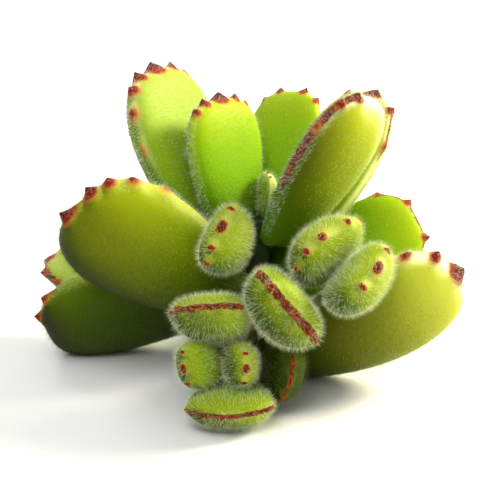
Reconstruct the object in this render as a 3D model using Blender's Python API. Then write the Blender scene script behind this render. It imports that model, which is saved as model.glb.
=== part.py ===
"""A bear's paw succulent, cut and standing on its own leaves: short stems with thick toothed leaves.

Every leaf is one blade form: a ball whose rings are drawn out to the leaf's outline. Its equator is the
leaf's edge, where the teeth stand, and its poles are the middles of the two faces.
"""

import math
from collections import namedtuple

import bmesh
import bpy
from mathutils import Vector

MM = 0.001

# Driving dimensions of the blade form, as shares of the leaf's own length, width and thickness.
NECK = 0.13  # how far the narrow foot is from a point
FLARE = 0.8  # how straight the sides run out from the foot
BLUNT = 0.34  # how round the tip end of the outline is: 0.5 is an ellipse
MIDDLE = 0.60  # where along the leaf its two faces are highest
FULLNESS = 0.82  # under 1 makes the faces fuller than an ellipsoid's
UPPER_SHARE = 0.42  # the inner face is flatter than the outer one
CUP = 0.05  # how far the sides rise above the middle, of the half width
TIP_CROWDING = 0.45  # how much closer together the edge's points stand at the tip

# Teeth, in steps of the coarse edge: its points are counted from the tip.
TOOTH_REACH = 1.6
TOOTH_HEIGHT = 0.085  # of the leaf's width
TOOTH_FADE = 0.045  # each step away from the tip lowers a tooth by this share

BIG_AROUND, BIG_RINGS = 44, 8
SMALL_AROUND, SMALL_RINGS = 28, 8
SMALL_LENGTH = 26 * MM  # leaves shorter than this take the small counts

SEAT_GAP = 0.3 * MM  # a leaf's foot stops this far from the stem it grows on
STEM_SIDES = 2  # bevel resolution: 8 sides

# Each stem runs through these points, in millimetres, with its radius.
Stem = namedtuple("Stem", "points radius")
STEMS = {
    "main_stem": Stem([(0, 3, 2), (-1, 3, 14), (1, 4, 26), (1, 5, 37)], 3.6),
    "front_shoot_stem": Stem([(-2.4, -0.6, 9), (-5, -11, 11), (-5, -19, 12)], 2.2),
    "middle_shoot_stem": Stem([(1.1, -0.5, 15), (5, -9, 16), (7, -15, 18)], 2.2),
    "right_shoot_stem": Stem([(3.8, 1.2, 25), (10, -5, 27), (15, -12, 29)], 2.0),
    "left_shoot_stem": Stem([(1, 0.7, 34), (-2, -5, 35), (-4, -8, 35)], 1.5),
}

# A leaf: the stem it grows on, its foot, the compass heading it leaves in (0 is right, 90 is away from
# the viewer), its rise, its roll about its own length, its size, its curl towards the inner face as a
# share of its length, and its teeth as (first, last, every) edge steps from the tip.
Leaf = namedtuple("Leaf", "stem foot heading rise roll length width thickness curl teeth")
LEAVES = {
    "leaf_left": Leaf("main_stem", (-3, 2, 18), 207, 34, 62, 48, 30, 13, 0.06, (-11, 1, 3)),
    "leaf_right_low": Leaf("main_stem", (4, 0, 3.6), 331, 24, -56, 51, 26, 14, 0.22, (0, 12, 4)),
    "leaf_tall_left": Leaf("main_stem", (-4, 7, 27), 148, 55, 2, 48, 30, 12, 0.12, (-12, 9, 3)),
    "leaf_inner_left": Leaf("main_stem", (-3, 3, 32), 125, 74, 14, 34, 23, 9, 0.04, (-6, 9, 3)),
    "leaf_back_centre": Leaf("main_stem", (2, 7, 29), 68, 52, -10, 41, 20, 8, 0.04, (-10, 6, 4)),
    "leaf_inner_right": Leaf("main_stem", (5, 3, 32), 334, 56, -30, 44, 18, 12, 0.04, (2, 14, 4)),
    "leaf_back_right": Leaf("main_stem", (5, 7, 24), 33, 50, 10, 49, 23, 9, 0.04, (-10, 10, 5)),
    "leaf_right_rear": Leaf("main_stem", (6, 4, 20), 12, 22, 55, 38.5, 21, 8, 0.03, (-9, 9, 6)),
    "leaf_left_floor": Leaf("main_stem", (-3, 5, 18.6), 172, -9, 60, 48, 27, 12, -0.12, (-6, -2, 4)),
    "leaf_left_rear": Leaf("main_stem", (-2, 9, 13), 160, 3, -14, 53, 19, 9, 0.05, (-8, 8, 4)),
    "rear_leaf_low": Leaf("main_stem", (1, 6, 8), 80, -5, 0, 42, 23, 12, 0.05, (-8, 8, 4)),
    "rear_leaf_left": Leaf("main_stem", (-1, 8, 22), 106, 30, 0, 39, 22, 11, 0.05, (-8, 8, 4)),
    "rear_leaf_right": Leaf("main_stem", (3, 7, 14), 46, 14, 0, 42, 22, 11, 0.05, (-8, 8, 4)),
    "heart_leaf": Leaf("main_stem", (3, 6, 37), 20, 80, 0, 11, 6, 4, 0.05, (-3, 3, 3)),
    "front_shoot_top_leaf": Leaf("front_shoot_stem", (-4, -13, 17), 245, 31, 14, 20, 17, 10, 0.03, (-6, 6, 3)),
    "front_shoot_floor_leaf": Leaf("front_shoot_stem", (-4, -17, 3.8), 268, 3, 3, 20, 19, 8, 0.05, (-6, 6, 6)),
    "front_shoot_left_leaf": Leaf("front_shoot_stem", (-6, -19, 12), 232, 8, -70, 14, 11, 8, 0.0, (-3, 3, 3)),
    "front_shoot_right_leaf": Leaf("front_shoot_stem", (-5, -20, 12), 290, 12, 84, 12, 10, 7, 0.0, (-3, 3, 3)),
    "middle_shoot_upper_leaf": Leaf("middle_shoot_stem", (7, -14, 21), 272, 26, -50, 20, 20, 12, 0.02, (-7, 5, 3)),
    "middle_shoot_lower_leaf": Leaf("middle_shoot_stem", (4, -13, 11), 288, -3, 76, 16, 14, 9, 0.02, (-3, 6, 3)),
    "right_shoot_upper_leaf": Leaf("right_shoot_stem", (15.5, -10, 28), 284, 54, -151, 18, 19, 10, 0.0, (-7, 5, 3)),
    "right_shoot_lower_leaf": Leaf("right_shoot_stem", (19, -17, 26), 306, 38, 32, 18, 18, 10, 0.0, (-6, 3, 3)),
    "left_shoot_front_leaf": Leaf("left_shoot_stem", (-5, -9, 32), 262, 48, 72, 15, 16, 10, 0.0, (-6, 6, 3)),
}

# Leaves that grew pressed together: each is hollowed where the others named press into it.
PRESSED = {
    "front_shoot_left_leaf": ["front_shoot_right_leaf", "front_shoot_top_leaf"],
    "front_shoot_top_leaf": ["middle_shoot_upper_leaf"],
    "heart_leaf": ["leaf_inner_left", "leaf_inner_right"],
    "leaf_back_centre": ["leaf_inner_right"],
    "leaf_back_right": ["leaf_back_centre", "leaf_right_rear"],
    "leaf_left": ["left_shoot_front_leaf"],
    "leaf_tall_left": ["leaf_back_centre", "leaf_inner_left"],
    "leaf_left_floor": ["leaf_left"],
    "leaf_left_rear": ["leaf_left_floor"],
    "leaf_right_low": ["right_shoot_lower_leaf"],
    "middle_shoot_lower_leaf": ["middle_shoot_upper_leaf", "front_shoot_floor_leaf"],
    "rear_leaf_left": ["leaf_back_right", "leaf_tall_left"],
    "rear_leaf_low": ["rear_leaf_right"],
}
TOUCH_GAP = 0.3 * MM  # between two leaves that touch

# The plant rests on leaves sunk slightly below this level and cut flat there.
RESTING = ["front_shoot_floor_leaf", "leaf_left_floor", "leaf_right_low", "rear_leaf_low"]
GROUND_SIZE = (160 * MM, 160 * MM, 20 * MM)

# Moves the foot of the plant so that the middle of its outline stands on the origin.
CENTRING = Vector((1.86, -5.4, 0)) * MM

GREEN = (0.36, 0.48, 0.05, 1.0)
STEM_BROWN = (0.30, 0.27, 0.12, 1.0)


def clear_scene():
    for old in list(bpy.data.objects):
        bpy.data.objects.remove(old, do_unlink=True)


def new_collection(name):
    made = bpy.data.collections.new(name)
    bpy.context.scene.collection.children.link(made)
    return made


def plain_material(name, colour, roughness):
    made = bpy.data.materials.new(name)
    made.use_nodes = True
    surface = made.node_tree.nodes["Principled BSDF"]
    surface.inputs["Base Color"].default_value = colour
    surface.inputs["Roughness"].default_value = roughness
    surface.inputs["Metallic"].default_value = 0.0
    return made


def half_width(share):
    """Half the blade's width at a share of its length, as a share of the greatest half width."""
    widest = (FLARE - BLUNT * NECK) / (FLARE + BLUNT)
    greatest = (widest + NECK) ** FLARE * (1 - widest) ** BLUNT
    return (share + NECK) ** FLARE * (1 - share) ** BLUNT / greatest


def edge_point(turn, length, width):
    """A point of the smooth outline. turn runs from 0 at the foot through pi at the tip to 2 pi."""
    share = (1 - math.cos(turn)) / 2
    side = 1 if turn < math.pi else -1
    return Vector((length * share, side * width / 2 * half_width(share), 0))


def tooth(steps_from_tip, height_over_edge, teeth):
    """How far the edge stands out here, from 0 to 1. height_over_edge is 0 on the edge and 1 mid face."""
    first, last, every = teeth
    nearest = first + every * round((steps_from_tip - first) / every)
    nearest = min(max(nearest, first), last)
    away = math.hypot((steps_from_tip - nearest) / TOOTH_REACH, height_over_edge / 0.35)
    return max(0.0, 1 - away) * (1 - TOOTH_FADE * abs(nearest))


def blade_point(ball, leaf, around):
    """Where a point of the unit ball goes on the leaf, in the leaf's own axes: x to the tip, z inner face."""
    length, width, thick = (v * MM for v in (leaf.length, leaf.width, leaf.thickness))
    longitude = math.atan2(ball.y, ball.x) % (2 * math.pi)
    turn = longitude + TIP_CROWDING * math.sin(longitude)
    ring = min(1.0, math.hypot(ball.x, ball.y)) ** FULLNESS
    edge = edge_point(turn, length, width)
    middle = Vector((length * MIDDLE, 0, 0))
    outward = (edge - middle).normalized()
    steps = (longitude / (2 * math.pi) - 0.5) * around
    stand = TOOTH_HEIGHT * width * tooth(steps, abs(ball.z), leaf.teeth)
    place = middle + (edge - middle) * ring + outward * stand
    share = UPPER_SHARE if ball.z > 0 else 1 - UPPER_SHARE
    height = thick * share * math.copysign(abs(ball.z) ** FULLNESS, ball.z)
    place.z = height + CUP * width / 2 * (2 * place.y / width) ** 2
    place.z += leaf.curl * length * (place.x / length) ** 2
    return place


def leaf_mesh(name, leaf):
    small = leaf.length * MM < SMALL_LENGTH
    around, rings = (SMALL_AROUND, SMALL_RINGS) if small else (BIG_AROUND, BIG_RINGS)
    form = bmesh.new()
    bmesh.ops.create_uvsphere(form, u_segments=around, v_segments=rings, radius=1)
    for vertex in form.verts:
        vertex.co = blade_point(vertex.co, leaf, around)
    bmesh.ops.recalc_face_normals(form, faces=form.faces)
    mesh = bpy.data.meshes.new(name)
    form.to_mesh(mesh)
    form.free()
    mesh.shade_smooth()
    return mesh


def stem_curve(name, stem, grown):
    """A smooth tube through the stem's points, as a mesh. grown widens it, for the cutter of its seats."""
    line = bpy.data.curves.new(name, "CURVE")
    line.dimensions = "3D"
    line.resolution_u = 6
    line.bevel_depth = stem.radius * MM + grown
    line.bevel_resolution = STEM_SIDES
    line.use_fill_caps = True
    spline = line.splines.new("BEZIER")
    spline.bezier_points.add(len(stem.points) - 1)
    for knot, point in zip(spline.bezier_points, stem.points):
        knot.co = Vector(point) * MM + CENTRING
        knot.handle_left_type = knot.handle_right_type = "AUTO"
    guide = bpy.data.objects.new(name + "_line", line)
    bpy.context.scene.collection.objects.link(guide)
    graph = bpy.context.evaluated_depsgraph_get()
    mesh = bpy.data.meshes.new_from_object(guide.evaluated_get(graph))
    bpy.data.objects.remove(guide)
    form = bmesh.new()
    form.from_mesh(mesh)
    bmesh.ops.remove_doubles(form, verts=form.verts, dist=0.01 * MM)
    form.to_mesh(mesh)
    form.free()
    return mesh


def add_cutter(name, mesh, cutters):
    cutter = bpy.data.objects.new(name, mesh)
    cutter.hide_render = True
    cutter.display_type = "WIRE"
    cutters.objects.link(cutter)
    return cutter


def cut_away(body, cutter, title):
    cut = body.modifiers.new(title, "BOOLEAN")
    cut.operation = "DIFFERENCE"
    cut.solver = "EXACT"
    cut.object = cutter


def add_stems(plant, cutters, material):
    seats = {}
    for name, stem in STEMS.items():
        body = bpy.data.objects.new(name, stem_curve(name, stem, 0))
        body.data.materials.append(material)
        plant.objects.link(body)
        seats[name] = add_cutter(name + "_seat", stem_curve(name + "_seat", stem, SEAT_GAP), cutters)
    return seats


def place_leaf(body, leaf):
    body.location = Vector(leaf.foot) * MM + CENTRING
    body.rotation_euler = [math.radians(a) for a in (leaf.roll, -leaf.rise, leaf.heading)]


def add_leaf(name, leaf, plant, seats, material):
    body = bpy.data.objects.new(name, leaf_mesh(name, leaf))
    body.data.materials.append(material)
    place_leaf(body, leaf)
    plant.objects.link(body)
    cut_away(body, seats[leaf.stem], "seat on the stem")
    return body


def add_pressing_leaf(name, cutters):
    """A leaf grown by the gap all round, that hollows the leaf it presses into."""
    mesh = leaf_mesh(name + "_pressing", LEAVES[name])
    outward = [vertex.normal.copy() for vertex in mesh.vertices]
    for vertex, way in zip(mesh.vertices, outward):
        vertex.co += way * TOUCH_GAP
    cutter = add_cutter(name + "_pressing", mesh, cutters)
    place_leaf(cutter, LEAVES[name])
    return cutter


def add_ground(cutters):
    form = bmesh.new()
    bmesh.ops.create_cube(form, size=1)
    bmesh.ops.scale(form, vec=GROUND_SIZE, verts=form.verts)
    bmesh.ops.translate(form, vec=(0, 0, -GROUND_SIZE[2] / 2), verts=form.verts)
    mesh = bpy.data.meshes.new("ground")
    form.to_mesh(mesh)
    form.free()
    return add_cutter("ground", mesh, cutters)


def main():
    clear_scene()
    plant = new_collection("bears_paw_succulent")
    cutters = new_collection("cutters")
    leaf_green = plain_material("leaf", GREEN, 0.6)
    stem_brown = plain_material("stem", STEM_BROWN, 0.8)
    seats = add_stems(plant, cutters, stem_brown)
    bodies = {name: add_leaf(name, leaf, plant, seats, leaf_green) for name, leaf in LEAVES.items()}
    pressing = {}
    for name, neighbours in PRESSED.items():
        for neighbour in neighbours:
            if neighbour not in pressing:
                pressing[neighbour] = add_pressing_leaf(neighbour, cutters)
            cut_away(bodies[name], pressing[neighbour], "pressed by " + neighbour)
    ground = add_ground(cutters)
    for name in RESTING:
        cut_away(bodies[name], ground, "flat where it rests")


main()
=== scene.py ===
# %% [markdown]
# A bear's paw succulent. On the real plant every leaf is a thick, juicy paddle with a few short teeth
# round its tip, and the whole skin is covered in fine white hairs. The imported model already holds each
# leaf as a plain solid in its right place. This file dresses it: the same leaves with smooth skin,
# coloured teeth and real hairs, the stems with bark, and a light that shines through the plant.

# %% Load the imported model
import math
from collections import namedtuple

import bmesh
import bpy
import numpy as np
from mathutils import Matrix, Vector
from mathutils.bvhtree import BVHTree


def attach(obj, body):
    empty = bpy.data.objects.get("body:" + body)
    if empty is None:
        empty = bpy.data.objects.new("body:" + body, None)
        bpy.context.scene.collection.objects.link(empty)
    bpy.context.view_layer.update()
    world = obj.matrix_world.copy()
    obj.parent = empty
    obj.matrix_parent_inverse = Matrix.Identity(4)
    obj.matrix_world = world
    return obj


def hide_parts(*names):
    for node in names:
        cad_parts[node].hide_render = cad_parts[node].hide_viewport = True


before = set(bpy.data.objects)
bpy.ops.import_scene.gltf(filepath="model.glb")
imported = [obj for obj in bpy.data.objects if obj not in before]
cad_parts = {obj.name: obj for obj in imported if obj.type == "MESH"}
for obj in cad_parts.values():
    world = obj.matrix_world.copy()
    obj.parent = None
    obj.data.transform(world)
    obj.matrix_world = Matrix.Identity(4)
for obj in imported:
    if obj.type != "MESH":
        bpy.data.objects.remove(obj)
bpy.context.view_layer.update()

MM = 0.001
print("the plant's nodes:", len(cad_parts))

# %% [markdown]
# The camera looks at the plant from the front and a little above, as one would hold a phone over a
# table. It is a long lens from a third of a metre away, so the near leaves are only a little enlarged.

# %% Camera
PHOTO_CENTRE = Vector((1.86, -5.4, 31)) * MM
CAMERA_DISTANCE = 330 * MM
CAMERA_RISE = math.radians(20)
LENS, SENSOR = 100, 36  # both in millimetres, as on a real camera
NEAREST_SEEN = 10 * MM

lens = bpy.data.cameras.new("camera")
lens.lens = LENS
lens.sensor_width = SENSOR
lens.clip_start = NEAREST_SEEN
camera = bpy.data.objects.new("camera", lens)
bpy.context.scene.collection.objects.link(camera)
sight = Vector((0, -math.cos(CAMERA_RISE), math.sin(CAMERA_RISE)))
camera.location = PHOTO_CENTRE + sight * CAMERA_DISTANCE
camera.rotation_euler = (math.pi / 2 - CAMERA_RISE, 0, 0)
bpy.context.scene.camera = camera
print("camera at", [round(c / MM) for c in camera.location], "mm")

# %% [markdown]
# Helpers for all the finishes. Colours are written as they look on a screen, so one function turns
# them into the linear values that Blender mixes. The other two start a material, and add a node to it,
# set it and wire it up.

# %% Helpers for materials


def linear(hex_colour):
    """An sRGB colour such as "#7D9300" as a linear RGBA tuple."""
    shares = [int(hex_colour[i:i + 2], 16) / 255 for i in (1, 3, 5)]
    return tuple(c / 12.92 if c <= 0.04045 else ((c + 0.055) / 1.055) ** 2.4 for c in shares) + (1.0,)


def add_node(tree, kind, settings=(), **links):
    """Adds a node, sets its properties and sockets, and links its inputs: _0 is the first socket."""
    node = tree.nodes.new(kind)
    for key, value in dict(settings).items():
        if isinstance(key, str) and hasattr(node, key):
            setattr(node, key, value)
        else:
            node.inputs[key].default_value = value
    for key, source in links.items():
        numbered = key[1:].isdigit()
        socket = node.inputs[int(key[1:]) if numbered else key]
        tree.links.new(source, socket)
    return node


def new_skin(name):
    """A new material, its node tree and the Principled shader in it."""
    skin = bpy.data.materials.new(name)
    skin.use_nodes = True
    return skin, skin.node_tree, skin.node_tree.nodes["Principled BSDF"]


print("leaf green is", [round(share, 3) for share in linear("#869A02")[:3]])

# %% [markdown]
# The table the plant stands on: a sheet of white paper, far wider than the picture. Paper is matt, so it
# gets a high roughness and almost no gloss. A single flat square is enough, as nothing of it shows but
# its colour and the plant's shadow.

# %% Table
TABLE_REACH = 3.0  # metres from the plant to each side

table_mesh = bpy.data.meshes.new("table")
form = bmesh.new()
bmesh.ops.create_grid(form, x_segments=1, y_segments=1, size=TABLE_REACH)
form.to_mesh(table_mesh)
form.free()
table = bpy.data.objects.new("table", table_mesh)
bpy.context.scene.collection.objects.link(table)
paper, tree, surface = new_skin("white_paper")
surface.inputs["Base Color"].default_value = linear("#EFEFED")
surface.inputs["Roughness"].default_value = 0.9
surface.inputs["Specular IOR Level"].default_value = 0.1
table_mesh.materials.append(paper)
print("table reaches", TABLE_REACH, "m to each side")

# %% [markdown]
# The light. The photograph has a bright sun behind the plant on the right, which makes the hairs glow
# along every rim, and soft light from all round. One small strong lamp stands in for the sun, a weak one
# behind on the left lights the hairs there, and a broad one in front is the window. The white room is
# brightest overhead, so the undersides of the leaves stay dark.

# %% Light
ROOM = {"From Min": 0.05, "From Max": 0.95, "To Min": 0.25, "To Max": 0.75}  # height to brightness


def add_lamp(name, place, size, watts, colour):
    """A square lamp at a place in metres that shines at the middle of the plant."""
    light = bpy.data.lights.new(name, "AREA")
    light.size = size
    light.energy = watts
    light.color = linear(colour)[:3]
    lamp = bpy.data.objects.new(name, light)
    lamp.location = place
    lamp.rotation_euler = (PHOTO_CENTRE - Vector(place)).to_track_quat("-Z", "Y").to_euler()
    bpy.context.scene.collection.objects.link(lamp)


add_lamp("sun_behind_right", (0.52, 0.17, 0.36), 0.20, 8.5, "#FFF6D8")
add_lamp("sun_behind_left", (-0.30, 0.45, 0.50), 0.25, 1.2, "#FFFFFF")
add_lamp("window_front", (-0.20, -0.45, 0.75), 0.5, 3.5, "#FFFFFF")
world = bpy.data.worlds.new("white_room")
world.use_nodes = True
sky = world.node_tree
heading = add_node(sky, "ShaderNodeTexCoord").outputs["Generated"]
rise = add_node(sky, "ShaderNodeSeparateXYZ", Vector=heading).outputs["Z"]
brightness = add_node(sky, "ShaderNodeMapRange", ROOM, Value=rise)
sky.links.new(brightness.outputs["Result"], sky.nodes["Background"].inputs["Strength"])
sky.nodes["Background"].inputs["Color"].default_value = linear("#FFFFFF")
bpy.context.scene.world = world
bpy.context.scene.view_settings.view_transform = "Standard"

# %% [markdown]
# Every leaf on this plant is one form at many sizes: a paddle, narrow at the foot and broad and blunt
# near the tip, flatter on its inner face than on its outer one. It could be sculpted leaf by leaf, but
# one formula that bends a ball into a paddle gives them all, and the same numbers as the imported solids
# keep each leaf where it is. The ball's equator becomes the leaf's edge, where the teeth stand.

# %% The leaf's form
NECK = 0.13  # how far the narrow foot is from a point
FLARE = 0.8  # how straight the sides run out from the foot
BLUNT = 0.34  # how round the tip end of the outline is: 0.5 is an ellipse
MIDDLE = 0.60  # where along the leaf its two faces are highest
FULLNESS = 0.82  # under 1 makes the faces fuller than an ellipsoid's
UPPER_SHARE = 0.42  # the inner face's share of the thickness
CUP = 0.05  # how far the sides rise above the middle, of the half width
TIP_CROWDING = 0.45  # how much closer together the edge's points stand at the tip
TOOTH_REACH = 1.6  # edge steps to each side of its tip
TOOTH_DEPTH = 0.35  # how far down the faces a tooth goes, of the ball's height
TOOTH_SHARPNESS = 1.5
TOOTH_HEIGHT = 0.085  # of the leaf's width
TOOTH_FADE = 0.045  # each step away from the tip lowers a tooth by this share
BIG_STEPS, SMALL_STEPS = 44, 28  # edge steps all round a big leaf and a small one
SMALL_LENGTH = 26  # millimetres: leaves shorter than this are the small ones

Leaf = namedtuple("Leaf", "skin rim foot heading rise roll length width thickness curl teeth")


def is_small(leaf):
    return leaf.length < SMALL_LENGTH


def half_width(share):
    """Half the leaf's width at a share of its length, as a share of the greatest half width."""
    widest = (FLARE - BLUNT * NECK) / (FLARE + BLUNT)
    greatest = (widest + NECK) ** FLARE * (1 - widest) ** BLUNT
    return (share + NECK) ** FLARE * (1 - share) ** BLUNT / greatest


def tooth(steps, height, teeth, reach=TOOTH_REACH, depth=TOOTH_DEPTH, sharpness=TOOTH_SHARPNESS):
    """How much of a tooth is here, 0 to 1, so many edge steps from the tip and so high over the edge."""
    first, last, every = teeth
    nearest = min(max(first + every * round((steps - first) / every), first), last)
    away = math.hypot((steps - nearest) / reach, height / depth)
    return max(0.0, 1 - away) ** sharpness * (1 - TOOTH_FADE * abs(nearest))


def leaf_point(ball, leaf):
    """Where a point of the unit ball goes on the leaf, and how many edge steps it lies from the tip."""
    length, width, thick = leaf.length * MM, leaf.width * MM, leaf.thickness * MM
    longitude = math.atan2(ball.y, ball.x) % (2 * math.pi)
    steps = (longitude / (2 * math.pi) - 0.5) * (SMALL_STEPS if is_small(leaf) else BIG_STEPS)
    turn = longitude + TIP_CROWDING * math.sin(longitude)
    ring = min(1.0, math.hypot(ball.x, ball.y)) ** FULLNESS
    share = (1 - math.cos(turn)) / 2
    side = 1 if turn < math.pi else -1
    edge = Vector((length * share, side * width / 2 * half_width(share), 0))
    middle = Vector((length * MIDDLE, 0, 0))
    stand = TOOTH_HEIGHT * width * tooth(steps, abs(ball.z), leaf.teeth)
    place = middle + (edge - middle) * ring + (edge - middle).normalized() * stand
    part = UPPER_SHARE if ball.z > 0 else 1 - UPPER_SHARE
    height = thick * part * math.copysign(abs(ball.z) ** FULLNESS, ball.z)
    curled = leaf.curl * length * (place.x / length) ** 2
    place.z = height + CUP * width / 2 * (2 * place.y / width) ** 2 + curled
    return place, steps


print("widths along a leaf:", [round(half_width(s), 2) for s in (0, 0.25, 0.5, 0.75)], "of the widest")

# %% [markdown]
# The red. On the real leaves it gathers in the teeth and runs down from them on both faces, further on
# the inner one. Some leaves also have a red line along their edge, drawn out past the last tooth. An
# image could be painted for it, but the formula already knows how far each point is from a tooth and
# from the edge, so it works out both shares there and the mesh carries them.

# %% Where the red lies
RED_STEPS = (2.2, 1.0)  # edge steps from a tooth where its red ends, on big leaves and on small ones
RED_DEPTHS = (0.40, 0.75)  # how far down a big leaf's outer face and its inner face it reaches
SMALL_RED_DEPTH = 0.3
OUTER_RIM = 0.4  # the red line is this much narrower on a big leaf's thick outer face
RIM_FADE = 2.5  # edge steps beyond the last tooth where the red line ends
CARRIED = ("along", "red", "height", "face", "rim")


def red_marks(ball, leaf, steps):
    """How much of a tooth's red and of the edge's red line is here, each 0 to 1."""
    small, inner, height = is_small(leaf), ball.z > 0, abs(ball.z)
    if small:
        depth = leaf.rim / 2 if leaf.rim else SMALL_RED_DEPTH
    else:
        depth = RED_DEPTHS[inner]
    red = tooth(steps, height, leaf.teeth, RED_STEPS[small], depth, 1)
    reach = leaf.rim if small or inner else leaf.rim * OUTER_RIM
    first, last, _ = leaf.teeth
    beyond = max(first - steps, steps - last, 0)
    rim = max(0, 1 - height / reach) * max(0, 1 - beyond / RIM_FADE) if reach else 0
    return red, rim


def skin_values(ball, place, leaf, steps):
    """The values that CARRIED names: the share of the length, the tooth's red, how far from the edge,
    the face (from -1 on the outer one to 1 on the inner one) and the red line."""
    red, rim = red_marks(ball, leaf, steps)
    return place.x / (leaf.length * MM), red, abs(ball.z), ball.z, rim


print("each leaf carries:", ", ".join(CARRIED))

# %% [markdown]
# The leaves themselves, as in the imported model: where each foot is in millimetres, the compass heading it
# leaves in (0 is right, 90 is away), how steeply it rises, how far it rolls, its size, how much it
# curls and where its teeth stand: first, last and every how many edge steps from the tip. The first
# word is the skin it wears and the number after it says how far down its faces the red line along the
# edge reaches, 0 for a leaf without one. The second table names the leaves that press into others.

# %% The leaves
LEAVES = {
    "leaf_left": Leaf("olive", 0.0, (-3, 2, 18), 207, 34, 62, 48, 30, 13, 0.06, (-11, 1, 3)),
    "leaf_right_low": Leaf("sunlit", 0.0, (4, 0, 3.6), 331, 24, -56, 51, 26, 14, 0.22, (0, 12, 4)),
    "leaf_tall_left": Leaf("pale", 0.0, (-4, 7, 27), 148, 55, 2, 48, 30, 12, 0.12, (-12, 9, 3)),
    "leaf_inner_left": Leaf("lime", 0.0, (-3, 3, 32), 125, 74, 14, 34, 23, 9, 0.04, (-6, 9, 3)),
    "leaf_back_centre": Leaf("lime", 0.0, (2, 7, 29), 68, 52, -10, 41, 20, 8, 0.04, (-10, 6, 4)),
    "leaf_inner_right": Leaf("sunlit_gold", 0.4, (5, 3, 32), 334, 56, -30, 44, 18, 12, 0.04, (2, 14, 4)),
    "leaf_back_right": Leaf("pale", 0.15, (5, 7, 24), 33, 50, 10, 49, 23, 9, 0.04, (-10, 10, 5)),
    "leaf_right_rear": Leaf("lime", 0.5, (6, 4, 20), 12, 22, 55, 38.5, 21, 8, 0.03, (-9, 9, 6)),
    "leaf_left_floor": Leaf("shade", 0.35, (-3, 5, 18.6), 172, -9, 60, 48, 27, 12, -0.12, (-6, -2, 4)),
    "leaf_left_rear": Leaf("pale", 0.5, (-2, 9, 13), 160, 3, -14, 53, 19, 9, 0.05, (-8, 8, 4)),
    "rear_leaf_low": Leaf("shade", 0.3, (1, 6, 8), 80, -5, 0, 42, 23, 12, 0.05, (-8, 8, 4)),
    "rear_leaf_left": Leaf("olive", 0.2, (-1, 8, 22), 106, 30, 0, 39, 22, 11, 0.05, (-8, 8, 4)),
    "rear_leaf_right": Leaf("olive", 0.3, (3, 7, 14), 46, 14, 0, 42, 22, 11, 0.05, (-8, 8, 4)),
    "heart_leaf": Leaf("pale", 0.0, (3, 6, 37), 20, 80, 0, 11, 6, 4, 0.05, (-3, 3, 3)),
    "front_shoot_top_leaf": Leaf("shoot", 0.17, (-4, -13, 17), 245, 31, 14, 20, 17, 10, 0.03, (-6, 6, 3)),
    "front_shoot_floor_leaf": Leaf("shoot", 0.18, (-4, -17, 3.8), 268, 3, 3, 20, 19, 8, 0.05, (-6, 6, 6)),
    "front_shoot_left_leaf": Leaf("shoot", 0.0, (-6, -19, 12), 232, 8, -70, 14, 11, 8, 0.0, (-3, 3, 3)),
    "front_shoot_right_leaf": Leaf("shoot", 0.0, (-5, -20, 12), 290, 12, 84, 12, 10, 7, 0.0, (-3, 3, 3)),
    "middle_shoot_upper_leaf": Leaf("shoot", 0.20, (7, -14, 21), 272, 26, -50, 20, 20, 12, 0.02, (-7, 5, 3)),
    "middle_shoot_lower_leaf": Leaf("deep_shade", 0.14, (4, -13, 11), 288, -3, 76, 16, 14, 9, 0.02, (-3, 6, 3)),
    "right_shoot_upper_leaf": Leaf("shoot", 0.0, (15.5, -10, 28), 284, 54, -151, 18, 19, 10, 0.0, (-7, 5, 3)),
    "right_shoot_lower_leaf": Leaf("shoot", 0.0, (19, -17, 26), 306, 38, 32, 18, 18, 10, 0.0, (-6, 3, 3)),
    "left_shoot_front_leaf": Leaf("shoot", 0.0, (-5, -9, 32), 262, 48, 72, 15, 16, 10, 0.0, (-6, 6, 3)),
}
PRESSED = {
    "front_shoot_left_leaf": ["front_shoot_right_leaf", "front_shoot_top_leaf"],
    "front_shoot_top_leaf": ["middle_shoot_upper_leaf"],
    "heart_leaf": ["leaf_inner_left", "leaf_inner_right"],
    "leaf_back_centre": ["leaf_inner_right"],
    "leaf_back_right": ["leaf_back_centre", "leaf_right_rear"],
    "leaf_left": ["left_shoot_front_leaf"],
    "leaf_tall_left": ["leaf_back_centre", "leaf_inner_left"],
    "leaf_left_floor": ["leaf_left"],
    "leaf_left_rear": ["leaf_left_floor"],
    "leaf_right_low": ["right_shoot_lower_leaf"],
    "middle_shoot_lower_leaf": ["middle_shoot_upper_leaf", "front_shoot_floor_leaf"],
    "rear_leaf_left": ["leaf_back_right", "leaf_tall_left"],
    "rear_leaf_low": ["rear_leaf_right"],
}
print("leaves:", len(LEAVES))

# %% [markdown]
# The skin of a leaf. It is a living, waxy cuticle over wet green flesh, grown and not made, so it is
# never one colour: lighter at the tip, with dark red teeth and on some leaves a ragged red-brown line
# between them. Light and shade are painted into it too. The foot is darker green, partly its own colour
# and partly painted shade of the plant's hollow. The side turned from the sun gets painted shade. The thin
# edge turns pale yellow, partly its own colour and partly a painted glow that grows the more it faces the
# sun, and the outer face that faces the sun is painted pale as painted sunlight.
# It is laid on coat by coat, as a painter would, and each coat lies where the values that the mesh
# carries say.

# %% Where each coat lies
# The share of painted sunlight on the outer face that faces the sun.
PAINTED_SUN_SHARE = 0.6  # how far the outer face that the sun strikes turns to the edge's pale colour

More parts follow.
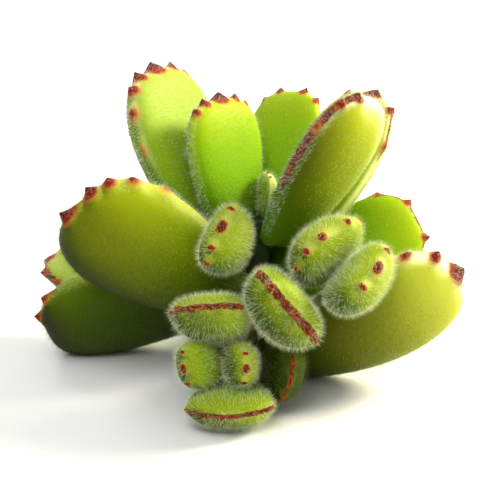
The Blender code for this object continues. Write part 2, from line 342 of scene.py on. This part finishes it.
# For each coat: the value that the mesh carries, where the coat starts, where it is full, and how much
# it covers there if that isn't all.
COATS = {
    "inner face": ("face", -0.1, 0.15),
    "outer face": ("face", 0.3, -0.1),
    "tip": ("along", 0.55, 1.05),
    # The darker foot: partly the leaf's own colour, partly painted shade of the plant's hollow.
    "foot": ("along", 0.60, 0.05),
    "outer half": ("along", 0.15, 0.55),
    "thin edge": ("height", 0.30, 0.0),
    # Painted shade: darker on the side turned from the sun.
    "shaded side": ("sun", 0.15, -0.90),
    # Painted glow: the thin edge is paler the more it faces the sun.
    "lit edge": ("sun", -0.8, 0.5),
    # Painted sunlight: the outer face that faces the sun turns pale.
    "sunny side": ("sun", 0.15, 0.85, PAINTED_SUN_SHARE),
    "red line": ("rim", 0.0, 0.1),
    "tooth foot": ("red", 0.25, 0.55),
    "tooth": ("red", 0.38, 0.55),
    "tooth tip": ("red", 0.62, 0.85),
}


def soft_step(low, high, most=1.0):
    """Settings that turn a value into a share: 0 up to low, the most from high on, smooth between."""
    return {"interpolation_type": "SMOOTHSTEP", "From Min": low, "From Max": high, "To Max": most}


def where_coat_lies(tree, coat):
    """How much of a coat is here, 0 to 1."""
    word, *limits = COATS[coat]
    value = add_node(tree, "ShaderNodeAttribute", {"attribute_name": word}).outputs["Fac"]
    return add_node(tree, "ShaderNodeMapRange", soft_step(*limits), Value=value).outputs["Result"]


def lay_coat(tree, under, colour, *places):
    """Lays a colour over the one under it, where all the places meet. Places may be named in COATS."""
    shares = [where_coat_lies(tree, place) if isinstance(place, str) else place for place in places]
    share = shares[0]
    for other in shares[1:]:
        share = add_node(tree, "ShaderNodeMath", {"operation": "MULTIPLY"}, _0=share, _1=other).outputs[0]
    mix = add_node(tree, "ShaderNodeMix", {"data_type": "RGBA"}, _0=share)
    for socket, paint in ((6, under), (7, colour)):
        if isinstance(paint, str):
            mix.inputs[socket].default_value = linear(paint)
        else:
            tree.links.new(paint, mix.inputs[socket])
    return mix.outputs[2]


print("coats:", len(COATS))

# %% [markdown]
# Light enters the flesh and glows, so a third of it scatters below the skin, green furthest and blue
# hardly at all. Wax on a leaf bends light a little more than water, so the IOR is 1.42. The hairs take
# the shine away, which leaves a half rough skin with little gloss. The real skin's cells are under a
# tenth of a millimetre, so the grain is drawn a few times coarser than they are, or it wouldn't show.

# %% Leaf skins
RIPE_RED = "#7C160E"
TOOTH_TIP = "#420806"
TOOTH_FOOT = "#C8702A"
RED_RIM = "#66180E"
GRAIN_SIZE = 0.45 * MM
GRAIN_DEPTH = 0.15 * MM
GLOW_DEPTH = 1.5 * MM
RAGGED_SIZE = 1.1 * MM
RAGGED = 0.8  # how much the red line's width wanders
LINE_STARTS, LINE_FULL = 0.65, 1.0  # of the line's share with RAGGED times a noise added


def flesh(tree, outer, inner, tip, foot, shade, edge):
    """The green coats of a leaf, from its face colours to the painted sunlight on its sunny side."""
    colour = lay_coat(tree, outer, inner, "inner face")
    colour = lay_coat(tree, colour, tip, "tip")
    # Painted shade on the side turned from the sun.
    colour = lay_coat(tree, colour, shade, "shaded side")
    # Darker foot, partly the leaf's own colour and partly painted shade of the hollow.
    colour = lay_coat(tree, colour, foot, "foot")
    # Pale thin edge, partly its own colour and partly painted glow where it faces the sun.
    colour = lay_coat(tree, colour, edge, "thin edge", "lit edge", "outer half")
    # Painted sunlight on the outer face that faces the sun.
    return lay_coat(tree, colour, edge, "sunny side", "outer face", "outer half")


def ragged_line(tree, where):
    """How much of the red line is here when its width wanders."""
    noise = add_node(tree, "ShaderNodeTexNoise", {"Scale": 1 / RAGGED_SIZE, "Detail": 2}, Vector=where)
    rim = add_node(tree, "ShaderNodeAttribute", {"attribute_name": "rim"}).outputs["Fac"]
    wander = {"operation": "MULTIPLY_ADD", 1: RAGGED}
    width = add_node(tree, "ShaderNodeMath", wander, _0=noise.outputs["Fac"], _2=rim).outputs[0]
    line = soft_step(LINE_STARTS, LINE_FULL)
    return add_node(tree, "ShaderNodeMapRange", line, Value=width).outputs["Result"]


def leaf_skin(name, *colours):
    """A leaf's cuticle, with a colour for each face, its tip, its foot (partly painted shade), the painted
    shade on its side turned from the sun and its thin edge (partly painted glow).
    """
    skin, tree, surface = new_skin(name)
    where = add_node(tree, "ShaderNodeTexCoord").outputs["Object"]
    colour = flesh(tree, *colours)
    colour = lay_coat(tree, colour, RED_RIM, ragged_line(tree, where), "red line")
    for coat, red in (("tooth foot", TOOTH_FOOT), ("tooth", RIPE_RED), ("tooth tip", TOOTH_TIP)):
        colour = lay_coat(tree, colour, red, coat)
    tree.links.new(colour, surface.inputs["Base Color"])
    grain = add_node(tree, "ShaderNodeTexNoise", {"Scale": 1 / GRAIN_SIZE, "Detail": 2}, Vector=where)
    relief = {"Strength": 0.35, "Distance": GRAIN_DEPTH}
    bump = add_node(tree, "ShaderNodeBump", relief, Height=grain.outputs["Fac"])
    tree.links.new(bump.outputs["Normal"], surface.inputs["Normal"])
    surface.inputs["Roughness"].default_value = 0.5
    surface.inputs["IOR"].default_value = 1.42
    surface.inputs["Specular IOR Level"].default_value = 0.25
    surface.inputs["Specular Tint"].default_value = linear("#E4EE9A")
    surface.inputs["Subsurface Weight"].default_value = 0.3
    surface.inputs["Subsurface Scale"].default_value = GLOW_DEPTH
    surface.inputs["Subsurface Radius"].default_value = (0.6, 1.0, 0.15)
    return skin


# Each skin's outer face, inner face, tip, foot (partly painted shade), painted shade on the side turned
# from the sun, and thin edge (partly painted glow, also used for the painted sunlight on the outer face).
SKINS = {
    "olive": leaf_skin("cuticle_olive", "#869A02", "#84AC00", "#A2AE06", "#324E00", "#222C00", "#B2BC2C"),
    # Painted light and shade for the two leaves in the sun: a paler glowing edge, a darker shaded side and
    # foot.
    "sunlit": leaf_skin("cuticle_sunlit", "#929E02", "#90B000", "#C2C83C", "#2C4000", "#0A0E00", "#FCFAC0"),
    # Painted light for leaf_inner_right in the sun: a lighter foot and shaded side and the palest glowing
    # edge.
    "sunlit_gold": leaf_skin("cuticle_sunlit_gold", "#98A804", "#90B000", "#BCC420", "#5E8404", "#303C00", "#FEFCCC"),
    "pale": leaf_skin("cuticle_pale", "#94AC0C", "#8CAC14", "#A2B648", "#4E7600", "#648404", "#ECECA0"),
    "lime": leaf_skin("cuticle_lime", "#90AA0C", "#7CAA00", "#A4BA06", "#3A6600", "#769618", "#DADC40"),
    # Painted shade: a darker copy of the skin for the leaves low in the plant's shadow.
    "shade": leaf_skin("cuticle_shade", "#4A6202", "#567802", "#6E8A06", "#0A1400", "#0A1000", "#8A9616"),
    # Painted shade: the darkest copy, for the small leaf in the hollow under the shoots.
    "deep_shade": leaf_skin("cuticle_deep_shade", "#2A3C02", "#344C02", "#3A4A02", "#060C00", "#080C00", "#5A660E"),
    "shoot": leaf_skin("cuticle_young", "#789804", "#84A20C", "#8EA00C", "#284404", "#2C4200", "#AEBA48"),
}
print("skins:", ", ".join(SKINS))

# %% [markdown]
# Each leaf starts as a ball of many rings and every point of it goes where the formula says. A subdivided
# copy of the imported solid would be quicker, but it would round off the teeth, and it knows nothing of
# faces and edges. At the end each point learns how far it faces the sun, which places the painted light
# and shade on its skin and hairs.

# %% Grow a leaf
FINE_BIG, FINE_SMALL = (176, 30), (112, 28)  # points round the edge and rings from pole to pole
PLANT_SHIFT = Vector((1.86, -5.4, 0)) * MM  # puts the middle of the whole plant's box at the origin
# The sun's direction for the painted light and shade of skins and hairs.
SUN_SIDE = Vector((0.80, 0.25, 0.55))


def grow_leaf(name, leaf):
    """The leaf as a smooth mesh in the plant's place, with the named values its skin reads."""
    around, rings = FINE_SMALL if is_small(leaf) else FINE_BIG
    form = bmesh.new()
    bmesh.ops.create_uvsphere(form, u_segments=around, v_segments=rings, radius=1)
    layers = [form.verts.layers.float.new(word) for word in CARRIED]
    for vertex in form.verts:
        place, steps = leaf_point(vertex.co, leaf)
        for layer, value in zip(layers, skin_values(vertex.co, place, leaf, steps)):
            vertex[layer] = value
        vertex.co = place
    bmesh.ops.recalc_face_normals(form, faces=form.faces)
    mesh = bpy.data.meshes.new(name + "_blade")
    form.to_mesh(mesh)
    form.free()
    blade = bpy.data.objects.new(name + "_blade", mesh)
    blade.location = Vector(leaf.foot) * MM + PLANT_SHIFT
    blade.rotation_euler = [math.radians(a) for a in (leaf.roll, -leaf.rise, leaf.heading)]
    bpy.context.scene.collection.objects.link(blade)
    bpy.context.view_layer.update()
    mesh.transform(blade.matrix_world)
    blade.location = blade.rotation_euler = (0, 0, 0)
    # How far each point faces the sun, for the painted light and shade.
    toward_sun = mesh.attributes.new("sun", "FLOAT", "POINT")
    for vertex, value in zip(mesh.vertices, toward_sun.data):
        value.value = vertex.normal.dot(SUN_SIDE)
    mesh.materials.append(SKINS[leaf.skin])
    mesh.shade_smooth()
    return blade


blades = {name: grow_leaf(name, leaf) for name, leaf in LEAVES.items()}
print("points on all leaves:", sum(len(blade.data.vertices) for blade in blades.values()))

# %% [markdown]
# Where two leaves grew pressed together, the softer one is hollowed by the other. Cutting one mesh from
# the other would leave a sharp rim. Instead the points that would lie inside the neighbour move out to
# just off its skin. Where a leaf rests on the table its points can't sink below it, so it gets a flat
# spot.

# %% Press the leaves together
TOUCH_GAP = 0.3 * MM


def press(blade, neighbour_tree):
    """Moves the blade's points that lie in or almost at the neighbour out to just off its skin."""
    moved = 0
    for vertex in blade.data.vertices:
        spot, normal, _, distance = neighbour_tree.find_nearest(vertex.co)
        if (vertex.co - spot).dot(normal) < 0 or distance < TOUCH_GAP:
            vertex.co = spot + normal * TOUCH_GAP
            moved += 1
    return moved


neighbour_trees = {}
for name, neighbours in PRESSED.items():
    for other in neighbours:
        if other not in neighbour_trees:
            mesh = blades[other].data
            corners = [vertex.co for vertex in mesh.vertices]
            neighbour_trees[other] = BVHTree.FromPolygons(corners, [face.vertices for face in mesh.polygons])
        print(name, "pressed by", other, "at", press(blades[name], neighbour_trees[other]), "points")
for blade in blades.values():
    for vertex in blade.data.vertices:
        vertex.co.z = max(vertex.co.z, 0)
for name, blade in blades.items():
    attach(blade, "root")
    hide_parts(name)

# %% [markdown]
# The hairs. Each is one long white cell: about half a millimetre on the big leaves, twice that along
# their edges, and about a millimetre on the young ones. The real ones are finer than the picture's dots,
# so these are drawn a little thicker. A hair is clear and takes the colour of what shines through it, so
# each skin has its own tint on its faces and the hairs at the edge are white. The tints also carry painted
# light and shade: paler on the leaves in the sun, darker on the shaded ones, and a painted dark green
# shade on the hairs of the side turned from the sun.

# %% Coats of hair
Coat = namedtuple("Coat", "per_mm2 shortest longest thickness lean")
BIG_COAT = Coat(5.2, 0.35, 0.75, 0.052, 0.3)
SMALL_COAT = Coat(5.5, 0.8, 1.6, 0.047, 0.2)
FRINGE_HEIGHT = 0.28  # nearer to a big leaf's edge than this the hairs are white, longer and straighter
FRINGE_THICKNESS = 0.042
FRINGE_GROWTH = 2.0
FRINGE_LEAN = 0.15
BARE_FOOT = 0.06  # of a leaf's length, without hairs
FULL_GROWN_FROM = 0.25  # of its length, where the hairs reach their full length
SHORTEST_SHARE = 0.3


def hair_cell(name, colour):
    """A clear cell wall, matt and hardly glossy, in the tint that shines through it or in painted light or
    shade.
    """
    cell, _, surface = new_skin(name)
    surface.inputs["Base Color"].default_value = linear(colour)
    surface.inputs["Roughness"].default_value = 0.6
    surface.inputs["Specular IOR Level"].default_value = 0.2
    return cell


FACE_HAIRS = {
    "olive": hair_cell("hair_cell_olive", "#C4D070"),
    # Painted light: paler hairs on the leaves in the sun.
    "sunlit": hair_cell("hair_cell_sunlit", "#D4DA84"),
    # Painted light: the palest hairs, for leaf_inner_right in the sun.
    "sunlit_gold": hair_cell("hair_cell_sunlit_gold", "#DCE294"),
    "pale": hair_cell("hair_cell_pale", "#EAF0B4"),
    "lime": hair_cell("hair_cell_lime", "#D6E87C"),
    # Painted shade: darker hairs on the leaves low in the plant's shadow.
    "shade": hair_cell("hair_cell_shade", "#82923C"),
    # Painted shade: the darkest hairs, for the small leaf in the hollow.
    "deep_shade": hair_cell("hair_cell_deep_shade", "#66762E"),
    "shoot": hair_cell("hair_cell_young", "#E2EAB8"),
}
FRINGE_HAIRS = hair_cell("hair_cell_white", "#F6F6E8")
# Painted shade: a dark green cell for the hairs on a big leaf's side turned from the sun.
SHADED_HAIRS = hair_cell("hair_cell_in_shade", "#4E5E18")
SHADED_FROM = (-0.6, 0.1)  # a big leaf's hairs turn from green to pale between these values of sun
# The hairs at the edge of these skins get the painted shade too.
SHADE_PAINTED_EDGES = ("olive", "shade")  # on these skins the hairs at the edge turn green in the shade too
print("tints of hair:", len(FACE_HAIRS) + 2)

# %% [markdown]
# Particle hair would be the usual way, but it is lost when the model is exported, so each hair here is a
# real spike of three thin sides and a closed foot. Their feet are drawn at random over the skin, so
# that a big triangle gets more of them than a small one.

# %% Spikes
SPIKE_FACES = ((0, 1, 3), (1, 2, 3), (2, 0, 3), (2, 1, 0))  # corners 0 to 2 are the foot, 3 the tip


def scatter_feet(mesh, per_mm2, draw):
    """Feet spread evenly over the skin: the corners of each one's triangle, its place and its normal."""
    mesh.calc_loop_triangles()
    corners = np.array([triangle.vertices[:] for triangle in mesh.loop_triangles])
    places = np.array([vertex.co[:] for vertex in mesh.vertices])
    normals = np.array([vertex.normal[:] for vertex in mesh.vertices])
    a, b, c = (places[corners[:, k]] for k in range(3))
    area = np.linalg.norm(np.cross(b - a, c - a), axis=1) / 2
    count = int(area.sum() / MM ** 2 * per_mm2)
    pick = draw.choice(len(corners), count, p=area / area.sum())
    share = np.sort(draw.random((count, 2)), axis=1)
    weights = np.stack([share[:, 0], share[:, 1] - share[:, 0], 1 - share[:, 1]], axis=1)[:, :, None]
    under = corners[pick]
    return under, (places[under] * weights).sum(1), (normals[under] * weights).sum(1)


def carried_at(mesh, word, under):
    """The named value that the mesh carries, at each foot."""
    return np.array([value.value for value in mesh.attributes[word].data])[under].mean(1)


def spike_points(root, up, length, thickness, draw):
    """For each hair three points round its foot and one at its tip, none of them below the table."""
    across = np.cross(up, draw.normal(0, 1, up.shape))
    across /= np.linalg.norm(across, axis=1)[:, None]
    other = np.cross(up, across)
    points = np.empty((len(root), 4, 3))
    radius = thickness[:, None] / 2 * MM
    for k in range(3):
        angle = 2 * math.pi * k / 3
        points[:, k] = root - up * radius + radius * (across * math.cos(angle) + other * math.sin(angle))
    points[:, 3] = root + up * length[:, None]
    points[:, :, 2] = np.maximum(points[:, :, 2], 0)
    return points


print("a hair has", len(SPIKE_FACES), "faces")

# %% [markdown]
# Combing decides each hair's lean, length and tint from where its foot is, and gives the hairs on a big
# leaf's side turned from the sun a painted shade. All hairs of a leaf are one mesh, so that the plant
# stays at two pieces a leaf.

# %% Comb the hairs
IN_SHADE = 2  # the place of SHADED_HAIRS among the mesh's materials


def comb_hairs(name, blade, leaf, seed):
    """Covers the blade's skin in hairs, as one mesh, and says how many they are."""
    big = not is_small(leaf)
    coat = BIG_COAT if big else SMALL_COAT
    draw = np.random.default_rng(seed)
    under, root, up = scatter_feet(blade.data, coat.per_mm2, draw)
    along, height, sun = (carried_at(blade.data, word, under) for word in ("along", "height", "sun"))
    fringe = (height < FRINGE_HEIGHT) & big
    up = up + draw.normal(0, 1, up.shape) * np.where(fringe, FRINGE_LEAN, coat.lean)[:, None]
    up /= np.linalg.norm(up, axis=1)[:, None]
    length = draw.uniform(coat.shortest, coat.longest, len(up)) * MM
    length = length * np.clip(along / FULL_GROWN_FROM, SHORTEST_SHARE, 1)
    length *= np.where(fringe, FRINGE_GROWTH, 1)
    # Painted shade: hairs on a big leaf's side turned from the sun get the dark green cell.
    shaded = (sun < draw.uniform(*SHADED_FROM, len(up))) & big
    shaded &= ~fringe | (leaf.skin in SHADE_PAINTED_EDGES)
    # Each hair's cell: its face tint, the white edge cell or the painted shade cell.
    tint = np.where(shaded, IN_SHADE, fringe)
    thickness = np.where(fringe, FRINGE_THICKNESS, coat.thickness)
    keep = (along > BARE_FOOT) & (root[:, 2] + up[:, 2] * length > 0)
    points = spike_points(root[keep], up[keep], length[keep], thickness[keep], draw)
    first = np.arange(len(points)) * points.shape[1]
    faces = np.concatenate([first[:, None] + face for face in SPIKE_FACES])
    hairs_mesh = bpy.data.meshes.new(name + "_hairs")
    hairs_mesh.from_pydata(points.reshape(-1, 3).tolist(), [], faces.tolist())
    for cell in (FACE_HAIRS[leaf.skin], FRINGE_HAIRS, SHADED_HAIRS):
        hairs_mesh.materials.append(cell)
    hairs_mesh.polygons.foreach_set("material_index", np.tile(tint[keep], len(SPIKE_FACES)))
    hairs = bpy.data.objects.new(name + "_hairs", hairs_mesh)
    bpy.context.scene.collection.objects.link(hairs)
    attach(hairs, "root")
    return len(points)


total = 0
for seed, (name, leaf) in enumerate(LEAVES.items()):
    total += comb_hairs(name, blades[name], leaf, seed)
print("hairs:", total)

# %% [markdown]
# The stems. The main one is old enough below to have thin grey-brown bark with cracks along it, and
# turns green higher up. The side shoots are still green all along. Their green is dark, partly its own
# colour and partly painted shade of the hollow in the middle of the plant. Bark is dull and rough, and its
# cracks run along the stem, so their noise is stretched upwards. The imported stems already have the
# right shape, so they only get their finishes.

# %% Stems
BARK_CRACK = 1.5 * MM
CRACK_DEPTH = 0.3 * MM
CRACK_STRETCH = (1, 1, 0.3)
GREEN_PATCH = 2.5 * MM
GREEN_ABOVE = (10 * MM, 22 * MM)  # between these heights the bark gives way to green skin
PATCHES = soft_step(0.35, 0.65)  # of a noise, from one colour to the other

bark, tree, surface = new_skin("young_bark")
where = add_node(tree, "ShaderNodeTexCoord").outputs["Object"]
stretched = add_node(tree, "ShaderNodeMapping", {"Scale": CRACK_STRETCH}, Vector=where).outputs[0]
cracks = add_node(tree, "ShaderNodeTexNoise", {"Scale": 1 / BARK_CRACK, "Detail": 5}, Vector=stretched)
ridges = add_node(tree, "ShaderNodeMapRange", PATCHES, Value=cracks.outputs["Fac"]).outputs["Result"]
bark_colour = lay_coat(tree, "#3E3618", "#7A6C3C", ridges)
height = add_node(tree, "ShaderNodeSeparateXYZ", Vector=where).outputs["Z"]
young = add_node(tree, "ShaderNodeMapRange", soft_step(*GREEN_ABOVE), Value=height).outputs["Result"]
# The green higher up is dark, partly its own colour and partly painted shade of the plant's hollow.
tree.links.new(lay_coat(tree, bark_colour, "#1E3408", young), surface.inputs["Base Color"])
relief = {"Strength": 0.6, "Distance": CRACK_DEPTH}
bump = add_node(tree, "ShaderNodeBump", relief, Height=cracks.outputs["Fac"])
tree.links.new(bump.outputs["Normal"], surface.inputs["Normal"])
surface.inputs["Roughness"].default_value = 0.8

green_stem, tree, surface = new_skin("green_stem")
where = add_node(tree, "ShaderNodeTexCoord").outputs["Object"]
noise = add_node(tree, "ShaderNodeTexNoise", {"Scale": 1 / GREEN_PATCH, "Detail": 3}, Vector=where)
patches = add_node(tree, "ShaderNodeMapRange", PATCHES, Value=noise.outputs["Fac"]).outputs["Result"]
# Dark green: partly the shoots' own colour, partly painted shade of the hollow they stand in.
tree.links.new(lay_coat(tree, "#1E3608", "#36520F", patches), surface.inputs["Base Color"])
surface.inputs["Roughness"].default_value = 0.6

for name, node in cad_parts.items():
    if name.endswith("_stem"):
        node.data.materials.clear()
        node.data.materials.append(bark if name == "main_stem" else green_stem)
        node.data.shade_smooth()
        print(name, "wears", node.data.materials[0].name)
